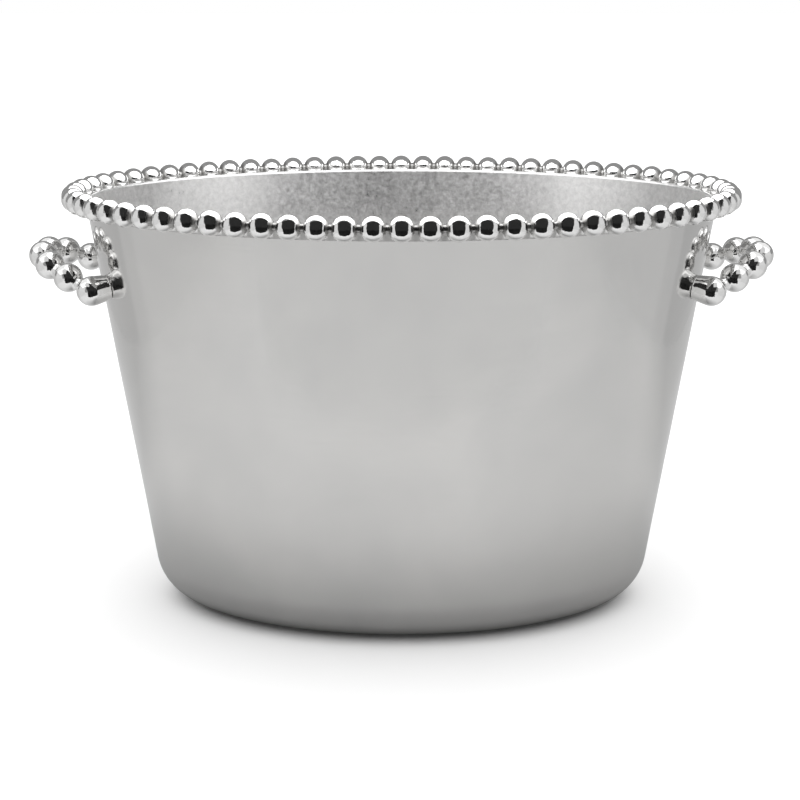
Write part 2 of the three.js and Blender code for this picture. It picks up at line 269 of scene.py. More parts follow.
def bucket_shell():
    """Rings from the middle of the underside, up and over the wall, to the middle of the inside floor."""
    section = shell_section()
    angles = np.arange(SHELL_DIVISIONS) * 2 * math.pi / SHELL_DIVISIONS
    rings = []
    zones = []

    def add_ring(inset, height, zone, share=1.0):
        flat = oval_point(angles, np.full(SHELL_DIVISIONS, inset)) * share
        rings.append(np.column_stack([flat, np.full(SHELL_DIVISIONS, height)]))
        zones.append(zone)

    for share in np.linspace(0, 1, FLOOR_RINGS + 1)[1:-1]:
        add_ring(section[0][0], 0, UNDERSIDE, share)
    for inset, height, zone in section:
        add_ring(inset, height, zone)
    for share in np.linspace(1, 0, FLOOR_RINGS + 1)[1:-1]:
        add_ring(section[-1][0], FLOOR_THICKNESS, INSIDE, share)
    faces = [tuple(f) for f in grid_faces(len(rings), SHELL_DIVISIONS)]
    face_zones = np.repeat(zones[1:], SHELL_DIVISIONS).tolist()
    points = np.concatenate(rings + [[[0, 0, 0]], [[0, 0, FLOOR_THICKNESS]]])
    last = (len(rings) - 1) * SHELL_DIVISIONS
    for i in range(SHELL_DIVISIONS):
        after = (i + 1) % SHELL_DIVISIONS
        faces.append((len(points) - 2, after, i))
        faces.append((len(points) - 1, last + i, last + after))
        face_zones += [UNDERSIDE, INSIDE]
    piece = new_object("satin_shell", points, faces)
    piece.data.update()
    wavy = hand_finish(points, of_vertices(piece, "normal"))
    on_underside = points[:, 2] < 0.01 * MM
    wavy[on_underside] = points[on_underside]
    set_coordinates(piece, wavy)
    for _ in (OUTSIDE, INSIDE, LIP, UNDERSIDE):
        piece.data.materials.append(None)
    piece.data.polygons.foreach_set("material_index", face_zones)
    for seat in arm_seats():
        drill_hole(piece, seat, -4 * WALL_THICKNESS, 4 * WALL_THICKNESS)
    return piece


# --- Handle arms ----------------------------------------------------------------------------------------

def handle_bead_places():
    """The bead centres of the right-hand handle, from its front arm round to its rear arm."""
    step = 2 * math.asin(HANDLE_BEAD_PITCH / (2 * HANDLE_ARC_RADIUS))
    bends = [(i - (HANDLE_ARC_BEADS - 1) / 2) * step for i in range(HANDLE_ARC_BEADS)]
    flat = [(HANDLE_ARC_RADIUS * math.cos(b), HANDLE_ARC_RADIUS * math.sin(b)) for b in bends]
    reach = (-math.sin(bends[-1]) * HANDLE_BEAD_PITCH, math.cos(bends[-1]) * HANDLE_BEAD_PITCH)
    end = (flat[-1][0] + reach[0], flat[-1][1] + reach[1])
    flat = [(end[0], -end[1]), *flat, end]
    across, up = math.cos(HANDLE_RISE_ANGLE), math.sin(HANDLE_RISE_ANGLE)
    return [Vector((HANDLE_ARC_CENTRE_X + x * across, y, HANDLE_ARC_CENTRE_Z + x * up)) for x, y in flat]


def arm_seat(bead):
    """The matrix that takes +Z to the wall's outward normal through a bead, and zero to the wall's face."""
    angle = math.atan2(bead.y, bead.x)
    inset = wall_inset(bead.z)
    for _ in range(SEAT_SEARCH_STEPS):
        nx, ny = oval_normal(np.array(angle))
        px, py = oval_point(np.array(angle), np.array(inset))
        angle += ((bead.y - py) * nx - (bead.x - px) * ny) / BEAD_LINE_HALF_LENGTH
    nx, ny = oval_normal(np.array(angle))
    px, py = oval_point(np.array(angle), np.array(inset))
    level = math.cos(DRAFT_ANGLE)
    outwards = Vector((nx * level, ny * level, -math.sin(DRAFT_ANGLE)))
    distance = (bead - Vector((px, py, bead.z))).dot(outwards)
    turn = Vector((0, 0, 1)).rotation_difference(outwards).to_matrix().to_4x4()
    return Matrix.Translation(bead - outwards * distance) @ turn


def arm_seats():
    """The seats of all four arms: right front, right rear, left rear and left front."""
    places = handle_bead_places()
    right = [arm_seat(places[0]), arm_seat(places[-1])]
    half_turn = Matrix.Rotation(math.pi, 4, "Z")
    return right + [half_turn @ seat for seat in right]


ARM_NAMES = ("right_front", "right_rear", "left_rear", "left_front")


# --- Bead border ----------------------------------------------------------------------------------------

BEAD_ARC_STEPS = 22
CORE_STEPS = 5
SECTION_SIDES = 44
BORDER_SHARP_DEGREES = 38
JOINT_SOFTNESS = 0.32 * MM
SECTION_START = np.array([-1.2 * MM, -1.0 * MM])
STRIP_IN_WALL = 0.05 * MM
STRIP_AIM_INSET = 0.01
BEAD_RADIUS_SPREAD = 0.011
BEAD_SHIFT_SPREAD = 0.09 * MM
RECESS_START = 0.60
RECESS_WIDTH = 0.22
# How much the backing strip counts as hollow, so that its polished finish gets painted shade and duller
# metal.
STRIP_SHADE_AND_DULLNESS = 0.85
LEAST_SWELL = 1.02 * RIM_CORE_RADIUS


def exit_from_circle(start, directions, centre, radius):
    """How far each direction runs inside a circle that holds the start point."""
    towards = centre - start
    along = directions @ towards
    inside = radius ** 2 - towards @ towards
    return along + np.sqrt(np.maximum(along ** 2 + inside, 0))


def exit_from_polygon(start, directions, corners):
    """Where each direction leaves a convex polygon with anticlockwise corners, or 0 if it misses it."""
    enter = np.zeros(len(directions))
    leave = np.full(len(directions), np.inf)
    for a, b in zip(corners, np.roll(corners, -1, axis=0)):
        normal = np.array([b[1] - a[1], a[0] - b[0]])
        facing = directions @ normal
        crossing = ((a - start) @ normal) / np.where(facing == 0, np.inf, facing)
        leave = np.where(facing > 0, np.minimum(leave, crossing), leave)
        enter = np.where(facing < 0, np.maximum(enter, crossing), enter)
    return np.where(leave > enter, leave, 0)


def soft_longest(lengths):
    """The longest of several lengths, with a small fillet where two are nearly equal."""
    stacked = np.stack(lengths)
    longest = stacked.max(0)
    return longest + JOINT_SOFTNESS * np.log(np.exp((stacked - longest) / JOINT_SOFTNESS).sum(0))


def strip_corners():
    """The backing strip's section, (outward, up) from the bead line: it leans on the wall's outer face."""
    top, bottom = -STRIP_TOP_BELOW_BEAD_LINE, -RIM_BEAD_RADIUS
    inner = [-wall_inset(BEAD_LINE_HEIGHT + h) - STRIP_IN_WALL for h in (bottom, top)]
    outer = inner[0] + STRIP_THICKNESS
    return np.array([(inner[0], bottom), (outer, bottom), (outer, top), (inner[1], top)])


def bead_stations():
    """Distances from a bead's centre, half a pitch each way, closer together where the surface turns."""
    length, _ = evenly_round_oval()
    half_pitch = length / RIM_BEAD_COUNT / 2
    turn = math.acos(RIM_CORE_RADIUS / RIM_BEAD_RADIUS)
    on_bead = RIM_BEAD_RADIUS * np.sin(np.linspace(-turn, turn, BEAD_ARC_STEPS + 1))
    core = np.linspace(on_bead[-1], 2 * half_pitch - on_bead[-1], CORE_STEPS + 1)[1:-1]
    return np.concatenate([on_bead, core]), 2 * half_pitch


def rim_beads():
    """The border as one skin: at each station, rays from a start point inside the core find its section."""
    _, angle_at = evenly_round_oval()
    offsets, pitch = bead_stations()
    strip = strip_corners()
    start = SECTION_START
    spread = np.arange(SECTION_SIDES) * 2 * math.pi / SECTION_SIDES
    round_points = RIM_BEAD_RADIUS * np.column_stack([np.cos(spread), np.sin(spread)])
    aims = np.concatenate([round_points, strip + STRIP_AIM_INSET * (strip.mean(0) - strip)]) - start
    bearings = np.sort(np.arctan2(aims[:, 1], aims[:, 0]))
    directions = np.column_stack([np.cos(bearings), np.sin(bearings)])
    core = exit_from_circle(start, directions, np.zeros(2), RIM_CORE_RADIUS)
    band = exit_from_polygon(start, directions, strip)
    points = []
    hollows = []
    for bead in range(RIM_BEAD_COUNT):
        radius = RIM_BEAD_RADIUS * (1 - abs(RANDOM.normal(0, BEAD_RADIUS_SPREAD)))
        shift = RANDOM.normal(0, BEAD_SHIFT_SPREAD, 2)
        for offset in offsets:
            from_bead = offset if offset <= pitch / 2 else offset - pitch
            swell = math.sqrt(max(radius ** 2 - from_bead ** 2, 0))
            reaches = [core, band]
            if offset <= offsets[BEAD_ARC_STEPS] and swell > LEAST_SWELL:
                reaches.append(exit_from_circle(start, directions, shift, swell))
            reach = soft_longest(reaches)
            section = start + directions * reach[:, None]
            angle = angle_at(bead * pitch + offset)
            xy = oval_point(np.full(len(section), angle), -section[:, 0])
            points.append(np.column_stack([xy, BEAD_LINE_HEIGHT + section[:, 1]]))
            # The hollow mask: deep in the core between beads, towards each bead's ends, and on the backing
            # strip. The polished finish paints shade there and makes the metal duller.
            depth = np.clip(1 - np.linalg.norm(section, axis=1) / RIM_BEAD_RADIUS, 0, 1)
            recess = np.clip((abs(from_bead) / (pitch / 2) - RECESS_START) / RECESS_WIDTH, 0, 1)
            on_strip = STRIP_SHADE_AND_DULLNESS * (band >= reach - JOINT_SOFTNESS)
            hollows.append(np.maximum(np.maximum(depth, recess), on_strip))
    around = len(directions)
    faces = grid_faces(len(points) + 1, around) % (len(points) * around)
    piece = new_object("polished_rim_beads", np.concatenate(points), faces)
    add_attribute(piece, "hollow", np.concatenate(hollows))
    face_outwards(piece.data)
    smooth(piece, BORDER_SHARP_DEGREES)
    return piece


# --- Handles --------------------------------------------------------------------------------------------

WALL_CUT_SOFTNESS = 0.08 * MM
FOOT_REACH = 2.2 * HANDLE_BEAD_RADIUS
SETTLING_ROUNDS = 8
SETTLING_NUDGE = 0.02 * MM
LEAST_STEEPNESS = 0.25
ROUGH_BEAD_SUBDIVISIONS = 3
ROUGH_ROD_SIDES = 24
HANDLE_SHARP_DEGREES = 40


def soft_min(distances, softness):
    """The least of several distances, with a small fillet where two are nearly equal."""
    stacked = np.stack(distances)
    nearest = stacked.min(0)
    return nearest - softness * np.log(np.exp((nearest - stacked) / softness).sum(0))


def rod_distance(points, a, b, radius_a, radius_b):
    """Distance to a round rod from a to b. It flares from radius a until it is straight at radius b."""
    a, b = np.array(a), np.array(b)
    axis = b - a
    share = np.clip((points - a) @ axis / (axis @ axis), 0, 1)
    nearest = a + share[:, None] * axis
    radius = radius_a + np.sin(share * math.pi / 2) * (radius_b - radius_a)
    return np.linalg.norm(points - nearest, axis=1) - radius


def handle_distance(points, places, seats):
    """Signed distance to the right-hand handle: beads, necks and feet melted together, cut at the wall."""
    beads = [np.linalg.norm(points - np.array(p), axis=1) - HANDLE_BEAD_RADIUS for p in places]
    necks = [rod_distance(points, a, b, HANDLE_NECK_RADIUS, HANDLE_NECK_RADIUS)
             for a, b in zip(places, places[1:])]
    feet = []
    behind_wall = []
    for seat, bead in zip(seats, (places[0], places[-1])):
        root = seat @ Vector((0, 0, 0))
        buried = seat @ Vector((0, 0, -HANDLE_FOOT_RADIUS))
        feet.append(rod_distance(points, root, bead, HANDLE_FOOT_RADIUS, HANDLE_BEAD_RADIUS))
        feet.append(rod_distance(points, buried, root, HANDLE_FOOT_RADIUS, HANDLE_FOOT_RADIUS))
        outwards = np.array(seat.col[2][:3])
        reach = (points - np.array(root)) @ outwards
        near_foot = np.linalg.norm(points - np.array(root), axis=1) < FOOT_REACH
        behind_wall.append(np.where(near_foot, -reach, -1.0))
    body = soft_min([*beads, *necks, *feet], HANDLE_BLEND / 3)
    return -soft_min([-body, *[-b for b in behind_wall]], WALL_CUT_SOFTNESS)


def settle_on_surface(piece, distance):
    """Moves each vertex on to the surface where a distance function is zero."""
    points = of_vertices(piece, "co")
    nudges = np.eye(3) * SETTLING_NUDGE
    for _ in range(SETTLING_ROUNDS):
        away = distance(points)
        rises = [distance(points + nudge) - distance(points - nudge) for nudge in nudges]
        slope = np.column_stack(rises) / (2 * SETTLING_NUDGE)
        steepness = np.maximum((slope ** 2).sum(1), LEAST_STEEPNESS)
        points = points - slope * (np.clip(away, -MM, MM) / steepness)[:, None]
    set_coordinates(piece, points)


def loop_handle(name, turn):
    """A right-hand handle, roughed out, settled on its true surface, then turned to its own end."""
    places = handle_bead_places()
    seats = [arm_seat(places[0]), arm_seat(places[-1])]
    bm = bmesh.new()
    for place in places:
        bmesh.ops.create_icosphere(bm, subdivisions=ROUGH_BEAD_SUBDIVISIONS, radius=HANDLE_BEAD_RADIUS,
                                   matrix=Matrix.Translation(place))
    rods = [(a, b, HANDLE_NECK_RADIUS) for a, b in zip(places, places[1:])]
    rods += [(seat @ Vector((0, 0, 0)), bead, HANDLE_FOOT_RADIUS)
             for seat, bead in zip(seats, (places[0], places[-1]))]
    for a, b, radius in rods:
        along = b - a
        place = Matrix.Translation((a + b) / 2) @ along.to_track_quat("Z", "Y").to_matrix().to_4x4()
        bmesh.ops.create_cone(bm, cap_ends=True, segments=ROUGH_ROD_SIDES, radius1=radius, radius2=radius,
                              depth=along.length, matrix=place)
    mesh = bpy.data.meshes.new(name)
    bm.to_mesh(mesh)
    bm.free()
    piece = bpy.data.objects.new(name, mesh)
    bpy.context.scene.collection.objects.link(piece)
    applied(piece, "REMESH", mode="VOXEL", voxel_size=HANDLE_VOXEL)
    settle_on_surface(piece, lambda p: handle_distance(p, places, seats))
    # The hollow mask grows away from the bead centres, over the necks and feet; the polished finish paints
    # shade there and makes the metal duller.
    points = of_vertices(piece, "co")
    nearest = np.min([np.linalg.norm(points - np.array(p), axis=1) for p in places], axis=0)
    add_attribute(piece, "hollow", np.clip(1 - nearest / HANDLE_BEAD_RADIUS, 0, 1) * 2)
    for seat in seats:
        drill_hole(piece, seat, -4 * MM, SCREW_REACH + MM)
    piece.data.transform(turn)
    smooth(piece, HANDLE_SHARP_DEGREES)
    return piece


# --- Screws and washers ---------------------------------------------------------------------------------

WASHER_GAP = 0.12 * MM
SEALING_WASHER_TOP = -WALL_THICKNESS - WASHER_GAP
STEEL_WASHER_TOP = SEALING_WASHER_TOP - SEALING_WASHER_THICKNESS
SCREW_HEAD_TOP = STEEL_WASHER_TOP - STEEL_WASHER_THICKNESS
TURNED_SIDES = 72
WASHER_EDGE_STEPS = 4
DOME_STEPS = 12
THREAD_STEPS_PER_TURN = 8
WASHER_SHARP_DEGREES = 40
SCREW_SHARP_DEGREES = 35


def rounded_washer(name, top, thickness, radius, edge):
    quarter = math.pi / 2
    inner, outer = SCREW_HOLE_RADIUS + edge, radius - edge
    low, high = top - thickness + edge, top - edge
    outline = [((SCREW_HOLE_RADIUS + radius) / 2, top - thickness)]
    corners = ((outer, low, -quarter), (outer, high, 0), (inner, high, quarter), (inner, low, 2 * quarter))
    for x, z, begin in corners:
        outline += arc((x, z), edge, begin, begin + quarter, WASHER_EDGE_STEPS)
    outline.append(outline[0])
    piece = turned(name, outline, TURNED_SIDES)
    smooth(piece, WASHER_SHARP_DEGREES)
    return piece


def handle_screw(name):
    """A button-head screw with a hexagon socket and a thread. Its axis is Z, and it points up."""
    crown = SCREW_HEAD_TOP - SCREW_HEAD_HEIGHT
    corner = SOCKET_ACROSS_FLATS / math.sqrt(3)
    edge = SCREW_EDGE
    bottom = crown + SOCKET_DEPTH
    socket = [(0, bottom), (corner * SOCKET_CENTRE_SHARE, bottom), (corner, bottom - edge),
              (corner, crown + edge), (corner + edge, crown)]
    rise = SCREW_HEAD_HEIGHT * SCREW_DOME_SHARE
    flat = corner * SCREW_FLAT_SHARE
    dome = [(flat + (SCREW_HEAD_RADIUS - flat) * math.sin(t), crown + rise * (1 - math.cos(t)))
            for t in np.linspace(0, math.pi / 2, DOME_STEPS)]
    skirt = [(SCREW_HEAD_RADIUS, SCREW_HEAD_TOP - edge), (SCREW_HEAD_RADIUS - edge, SCREW_HEAD_TOP)]
    neck = [(SCREW_RADIUS + edge, SCREW_HEAD_TOP), (SCREW_RADIUS, SCREW_HEAD_TOP + edge)]
    thread_from, thread_to = SCREW_HEAD_TOP + 2 * edge, SCREW_REACH - THREAD_PITCH
    thread_steps = int((thread_to - thread_from) / (THREAD_PITCH / THREAD_STEPS_PER_TURN))
    thread = [(SCREW_RADIUS, z) for z in np.linspace(thread_from, thread_to, thread_steps)]
    tip = [(SCREW_RADIUS * SCREW_POINT_SHARE, SCREW_REACH), (0, SCREW_REACH)]
    before_thread = socket + dome + skirt + neck
    threaded = slice(len(before_thread), -len(tip))

    def shape(points, angles):
        """Makes the socket's rings hexagons, and cuts the thread as a helix."""
        factor = np.ones((len(points), len(angles)))
        factor[:len(socket)] = math.cos(math.pi / 6) / np.cos(np.mod(angles, math.pi / 3) - math.pi / 6)
        helix = (points[threaded, 1:] / THREAD_PITCH + angles / (2 * math.pi)) % 1
        factor[threaded] = 1 - THREAD_DEPTH_SHARE * np.abs(2 * helix - 1)
        return factor

    piece = turned(name, before_thread + thread + tip, TURNED_SIDES, shape)
    smooth(piece, SCREW_SHARP_DEGREES)
    return piece


# --- Materials ------------------------------------------------------------------------------------------

class Finish:
    """A Principled material and short ways to add the nodes that vary it."""

    def __init__(self, name, colour, metallic, roughness):
        self.material = bpy.data.materials.new(name)
        self.material.use_nodes = True
        self.nodes = self.material.node_tree.nodes
        self.links = self.material.node_tree.links
        self.shader = self.nodes["Principled BSDF"]
        self.shader.inputs["Base Color"].default_value = (*colour, 1)
        self.shader.inputs["Metallic"].default_value = metallic
        self.shader.inputs["Roughness"].default_value = roughness
        self.place = self.nodes.new("ShaderNodeTexCoord").outputs["Object"]
        self.height = None

    def link(self, output, socket):
        self.links.new(output, socket)

    def stretched(self, scale):
        mapping = self.nodes.new("ShaderNodeMapping")
        mapping.inputs["Scale"].default_value = scale
        self.link(self.place, mapping.inputs["Vector"])
        return mapping.outputs["Vector"]

    def noise(self, scale, detail=2.0, roughness=0.5, distortion=0.0, vector=None):
        node = self.nodes.new("ShaderNodeTexNoise")
        node.inputs["Scale"].default_value = scale
        node.inputs["Detail"].default_value = detail
        node.inputs["Roughness"].default_value = roughness
        node.inputs["Distortion"].default_value = distortion
        self.link(vector or self.place, node.inputs["Vector"])
        return node.outputs["Fac"]

    def attribute(self, name):
        node = self.nodes.new("ShaderNodeAttribute")
        node.attribute_name = name
        return node.outputs["Fac"]

    def spread(self, value, low, high, to_low, to_high, smoothly=False):
        """Maps the range from low to high on to another, and holds the value beyond its ends."""
        node = self.nodes.new("ShaderNodeMapRange")
        if smoothly:
            node.interpolation_type = "SMOOTHSTEP"
        numbers = {"From Min": low, "From Max": high, "To Min": to_low, "To Max": to_high}
        for key, number in numbers.items():
            node.inputs[key].default_value = number
        self.link(value, node.inputs["Value"])
        return node.outputs["Result"]

    def across(self):
        """The place's X, Y and Z as separate values."""
        split = self.nodes.new("ShaderNodeSeparateXYZ")
        self.link(self.place, split.inputs["Vector"])
        return split.outputs

    def math(self, operation, a, b):
        node = self.nodes.new("ShaderNodeMath")
        node.operation = operation
        for socket, value in zip(node.inputs, (a, b)):
            if isinstance(value, (int, float)):
                socket.default_value = value
            else:
                self.link(value, socket)
        return node.outputs["Value"]

    def blend(self, amount, colour_a, colour_b):
        node = self.nodes.new("ShaderNodeMix")
        node.data_type = "RGBA"
        self.link(amount, node.inputs["Factor"])
        for key, colour in ((6, colour_a), (7, colour_b)):
            if isinstance(colour, tuple):
                node.inputs[key].default_value = (*colour, 1)
            else:
                self.link(colour, node.inputs[key])
        return node.outputs[2]

    def bump(self, height, strength, distance):
        node = self.nodes.new("ShaderNodeBump")
        node.inputs["Strength"].default_value = strength
        node.inputs["Distance"].default_value = distance
        self.link(height, node.inputs["Height"])
        if self.height is not None:
            self.link(self.height, node.inputs["Normal"])
        self.height = node.outputs["Normal"]

    def done(self):
        if self.height is not None:
            self.link(self.height, self.shader.inputs["Normal"])
        return self.material


BUFFED_FROM, BUFFED_TO = 0.118, 0.15
BUFFED_ROUGHNESS_FACTOR = 0.35


def satin_outside():
    """Hand-rubbed satin, buffed smoother at both ends of the wall, where the handles are fixed."""
    finish = Finish("satin_outside", (0.66, 0.655, 0.645), 1.0, 0.42)
    clouds = finish.noise(14, 3, 0.55, 0.4)
    shade = finish.spread(clouds, 0.35, 0.65, 0, 1)
    tint = finish.blend(shade, (0.633, 0.629, 0.621), (0.689, 0.682, 0.670))
    finish.link(tint, finish.shader.inputs["Base Color"])
    rub = finish.noise(1.0, 3, 0.6, 0, finish.stretched((35, 35, 900)))
    rubbed = finish.spread(rub, 0.3, 0.7, -0.02, 0.02)
    rough = finish.math("ADD", finish.spread(clouds, 0.3, 0.7, 0.17, 0.22), rubbed)
    outwards = finish.math("ABSOLUTE", finish.across()["X"], 0)
    buffed = finish.spread(outwards, BUFFED_FROM, BUFFED_TO, 1, BUFFED_ROUGHNESS_FACTOR)
    rough = finish.math("MULTIPLY", rough, buffed)
    finish.link(rough, finish.shader.inputs["Roughness"])
    finish.bump(rub, 0.03, 0.05 * MM)
    finish.bump(finish.noise(900, 2, 0.6), 0.05, 0.05 * MM)
    finish.shader.inputs["Coat Weight"].default_value = 0.9
    finish.shader.inputs["Coat Roughness"].default_value = 0.04
    return finish.done()


def cast_inside():
    """The casting's fine mottled grain."""
    finish = Finish("cast_inside", (0.55, 0.545, 0.54), 1.0, 0.5)
    mottle = finish.noise(380, 5, 0.66, 0.3)
    clouds = finish.noise(22, 2, 0.5, 0.5)
    tint = finish.blend(finish.spread(mottle, 0.3, 0.7, 0, 1), (0.66, 0.656, 0.652), (0.88, 0.875, 0.87))
    finish.link(tint, finish.shader.inputs["Base Color"])
    worn = finish.spread(clouds, 0.3, 0.7, -0.04, 0.04)
    rough = finish.math("ADD", finish.spread(mottle, 0.3, 0.7, 0.30, 0.42), worn)
    finish.link(rough, finish.shader.inputs["Roughness"])
    finish.bump(mottle, 0.16, 0.10 * MM)
    finish.shader.inputs["Coat Weight"].default_value = 0.5
    finish.shader.inputs["Coat Roughness"].default_value = 0.12
    return finish.done()


def polished(name, with_hollows):
    """A hand-polished mirror. In its hollows, where a wheel can't reach, the metal is duller, and there its
    colour is darkened as painted shade.
    """
    finish = Finish(name, (0.90, 0.898, 0.893), 1.0, 0.05)
    smear = finish.noise(180, 3, 0.55, 0.6)
    rough = finish.spread(smear, 0.35, 0.7, 0.03, 0.09)
    if with_hollows:
        hollow = finish.attribute("hollow")
        dullness_and_painted_shade = finish.spread(hollow, 0.3, 0.75, 0, 1)
        rough = finish.math("ADD", rough, finish.spread(dullness_and_painted_shade, 0, 1, 0, 0.3))
        # The hollows' darker tint is painted shade; their added roughness is the duller metal.
        tint = finish.blend(dullness_and_painted_shade, (0.90, 0.898, 0.893), (0.50, 0.496, 0.488))
        finish.link(tint, finish.shader.inputs["Base Color"])
    finish.link(rough, finish.shader.inputs["Roughness"])
    finish.bump(finish.noise(170, 2, 0.5), 0.55, 0.4 * MM)
    finish.bump(finish.noise(560, 2, 0.6), 0.30, 0.2 * MM)
    return finish.done()


def satin_underside():
    finish = Finish("satin_underside", (0.60, 0.597, 0.59), 1.0, 0.45)
    scuffs = finish.noise(1.0, 4, 0.7, 0.4, finish.stretched((420, 60, 60)))
    cross = finish.noise(1.0, 4, 0.7, 0.4, finish.stretched((70, 380, 60)))
    marks = finish.math("MULTIPLY", scuffs, cross)
    tint = finish.blend(finish.spread(marks, 0.15, 0.4, 0, 1), (0.50, 0.497, 0.49), (0.68, 0.677, 0.67))
    finish.link(tint, finish.shader.inputs["Base Color"])
    finish.link(finish.spread(marks, 0.15, 0.4, 0.52, 0.34), finish.shader.inputs["Roughness"])
    finish.bump(marks, 0.12, 0.06 * MM)
    return finish.done()


def machined_steel():
    finish = Finish("machined_steel", (0.60, 0.605, 0.61), 1.0, 0.28)
    grain = finish.noise(1600, 2, 0.5)
    finish.link(finish.spread(grain, 0.3, 0.7, 0.22, 0.36), finish.shader.inputs["Roughness"])
    tint = finish.blend(finish.spread(grain, 0.3, 0.7, 0, 1), (0.55, 0.555, 0.56), (0.64, 0.645, 0.65))
    finish.link(tint, finish.shader.inputs["Base Color"])
    finish.bump(grain, 0.08, 0.03 * MM)
    return finish.done()


def moulded_rubber():
    finish = Finish("moulded_rubber", (0.02, 0.02, 0.021), 0.0, 0.7)
    grain = finish.noise(2200, 3, 0.6)
    finish.link(finish.spread(grain, 0.3, 0.7, 0.6, 0.8), finish.shader.inputs["Roughness"])
    tint = finish.blend(finish.spread(grain, 0.3, 0.7, 0, 1), (0.015, 0.015, 0.016), (0.032, 0.032, 0.033))
    finish.link(tint, finish.shader.inputs["Base Color"])
    finish.bump(grain, 0.2, 0.04 * MM)
    return finish.done()


# --- Assembly -------------------------------------------------------------------------------------------

def install(piece, node):
    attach(piece, "root")
    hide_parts(node)


shell = bucket_shell()
smooth(shell, SHELL_SHARP_DEGREES)
shell.data.materials[OUTSIDE] = satin_outside()
shell.data.materials[INSIDE] = cast_inside()
shell.data.materials[LIP] = polished("buffed_lip", False)
shell.data.materials[UNDERSIDE] = satin_underside()
install(shell, "bucket_shell")

mirror_polish = polished("polished_metal", True)
beads = rim_beads()
beads.data.materials.append(mirror_polish)
install(beads, "rim_bead_border")

handle_pieces = []
for end, turn in (("right", Matrix.Identity(4)), ("left", Matrix.Rotation(math.pi, 4, "Z"))):
    handle = loop_handle(f"polished_handle_{end}", turn)
    handle_pieces.append(handle)
    handle.data.materials.clear()
    handle.data.materials.append(mirror_polish)
    install(handle, f"handle_{end}")

fixing_pieces = []
steel = machined_steel()
rubber = moulded_rubber()
for name, seat in zip(ARM_NAMES, arm_seats()):
    screw = handle_screw(f"socket_screw_{name}")
    steel_washer = rounded_washer(f"steel_washer_{name}", STEEL_WASHER_TOP, STEEL_WASHER_THICKNESS,
                                  STEEL_WASHER_RADIUS, STEEL_WASHER_EDGE)
    rubber_washer = rounded_washer(f"rubber_washer_{name}", SEALING_WASHER_TOP, SEALING_WASHER_THICKNESS,
                                   SEALING_WASHER_RADIUS, SEALING_WASHER_EDGE)
    fixings = (
        (screw, f"handle_screw_{name}", steel, "stainless_steel"),
        (steel_washer, f"screw_washer_{name}", steel, "stainless_steel"),
        (rubber_washer, f"sealing_washer_{name}", rubber, "sealing_rubber"),
    )
    for piece, node, finish, slot in fixings:
        piece.data.transform(seat)
        piece.data.materials.append(finish)
        install(piece, node)
        fixing_pieces.append(piece)


# --- Stage ----------------------------------------------------------------------------------------------

FLOOR_REACH = 30
SEEN_FLOOR_GREY = 0.9
REFLECTED_FLOOR_GREY = 0.8
REFLECTED_FLOOR_HEIGHT = -0.5 * MM
BACKDROP_DISTANCE = 12
FOOT_HALF_LENGTH = BEAD_LINE_HALF_LENGTH - wall_inset(FOOT_RADIUS)
FOOT_HALF_WIDTH = BEAD_LINE_HALF_WIDTH - wall_inset(FOOT_RADIUS)

# How the reflected floor darkens: (from, to, shade there, shade here). The foot's shade is in foot sizes.
FOOT_SHADE = (0.8, 2.2, 0.44, 0.8)
SIDE_SHADE = (0.12, 0.45, 1, 0.82)
SIDE_SHADE_MIDDLE = -0.04
REAR_SHADE = (-0.02, 0.13, 1, 0.76)

# A dark opening in front, as a light tent has for the lens. It widens upwards. The corners are (x, z).
OPENING_Y = -0.294
OPENING_GREY = 0.03
OPENING_TOP_EDGE = [(0.249, 0.21), (0.42, 0.5), (1.7, 1.7)]
OPENING_FOOT_EDGE = [(0.249, 0), (0.249, 0.21)]
OPENING_EMISSION = 0.015
OPENING_EMISSION_FOR_WALL = 0.77

# Pale curtains at both sides, cut back towards the top. The corners are (y, z).
CURTAIN_X = 0.5
CURTAIN_FOOT = 0.2
CURTAIN_OUTLINE = [(-0.46, CURTAIN_FOOT), (0.02, CURTAIN_FOOT), (0.02, 0.9), (-0.05, 0.9), (-0.18, 0.67),
                   (-0.33, 0.55)]
CURTAIN_EMISSION = 0.72

# Dimmer walls below the curtains, in stretches of (name, start, end, emission) from front to rear.
LOW_WALL_STRETCHES = [("near", -0.46, 0.0, 0.68), ("middle", 0.0, 0.08, 0.62), ("far", 0.08, 0.6, 0.54)]


def plain_finish(name, grey, emission=0.0):
    """A matt surface with no gloss, which may glow white."""
    finish = Finish(name, (grey, grey, grey), 0.0, 0.9)
    finish.shader.inputs["Specular IOR Level"].default_value = 0.0
    if emission:
        finish.shader.inputs["Emission Color"].default_value = (1, 1, 1, 1)
        finish.shader.inputs["Emission Strength"].default_value = emission
    return finish


def flat_stage(name, corners, finish, unseen_by):
    """A flat sheet that isn't part of the object. The listed kinds of ray pass through it."""
    piece = new_object(name, corners, [range(len(corners))])
    piece.data.materials.append(finish.done())
    for rays in unseen_by:
        setattr(piece, f"visible_{rays}", False)
    return piece


def floor_sheet(name, height, finish, unseen_by):
    corners = [(x * FLOOR_REACH, y * FLOOR_REACH, height) for x, y in ((-1, -1), (1, -1), (1, 1), (-1, 1))]
    return flat_stage(name, corners, finish, unseen_by)


